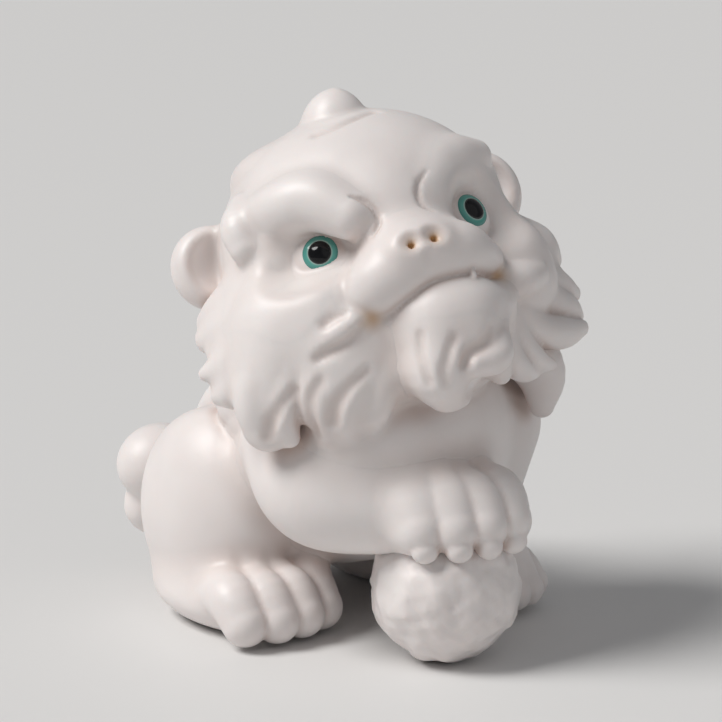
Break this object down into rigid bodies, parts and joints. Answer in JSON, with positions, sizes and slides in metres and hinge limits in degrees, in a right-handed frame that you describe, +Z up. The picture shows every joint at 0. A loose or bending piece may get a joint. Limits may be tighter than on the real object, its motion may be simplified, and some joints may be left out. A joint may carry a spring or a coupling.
{
  "type": "guardian lion figurine",
  "caption": "White porcelain seated guardian lion with curled brows and mane, teal inlaid eyes and one forepaw on a ball; a free-standing ornament.",
  "frame": {"origin": "on the surface that the lion stands on, under the middle of its bounding box", "axes": "+Z up, -Y towards the front of the body, +X towards the lion's left"},
  "size_m": [0.0636, 0.0818, 0.0842],
  "materials": {
    "white_porcelain": "satin white porcelain, waxy and slightly translucent at its edges",
    "teal_glaze": "opaque teal glaze, glossy",
    "black_glaze": "opaque black glaze, high gloss"
  },
  "bodies": {
    "root": {"body": "white_porcelain", "head": "white_porcelain", "muzzle": "white_porcelain", "lower_jaw": "white_porcelain", "beard": "white_porcelain", "crown_bud": "white_porcelain", "left_ear": "white_porcelain", "right_ear": "white_porcelain", "left_brow": "white_porcelain", "right_brow": "white_porcelain", "left_eyeball": "white_porcelain", "right_eyeball": "white_porcelain", "left_ruff": "white_porcelain", "right_ruff": "white_porcelain", "left_fang": "white_porcelain", "right_fang": "white_porcelain", "nape_mane": "white_porcelain", "tail": "white_porcelain", "left_foreleg": "white_porcelain", "right_foreleg": "white_porcelain", "left_hind_leg": "white_porcelain", "right_hind_leg": "white_porcelain", "ball": "white_porcelain", "left_iris": "teal_glaze", "right_iris": "teal_glaze", "left_pupil": "black_glaze", "right_pupil": "black_glaze"}
  },
  "joints": []
}
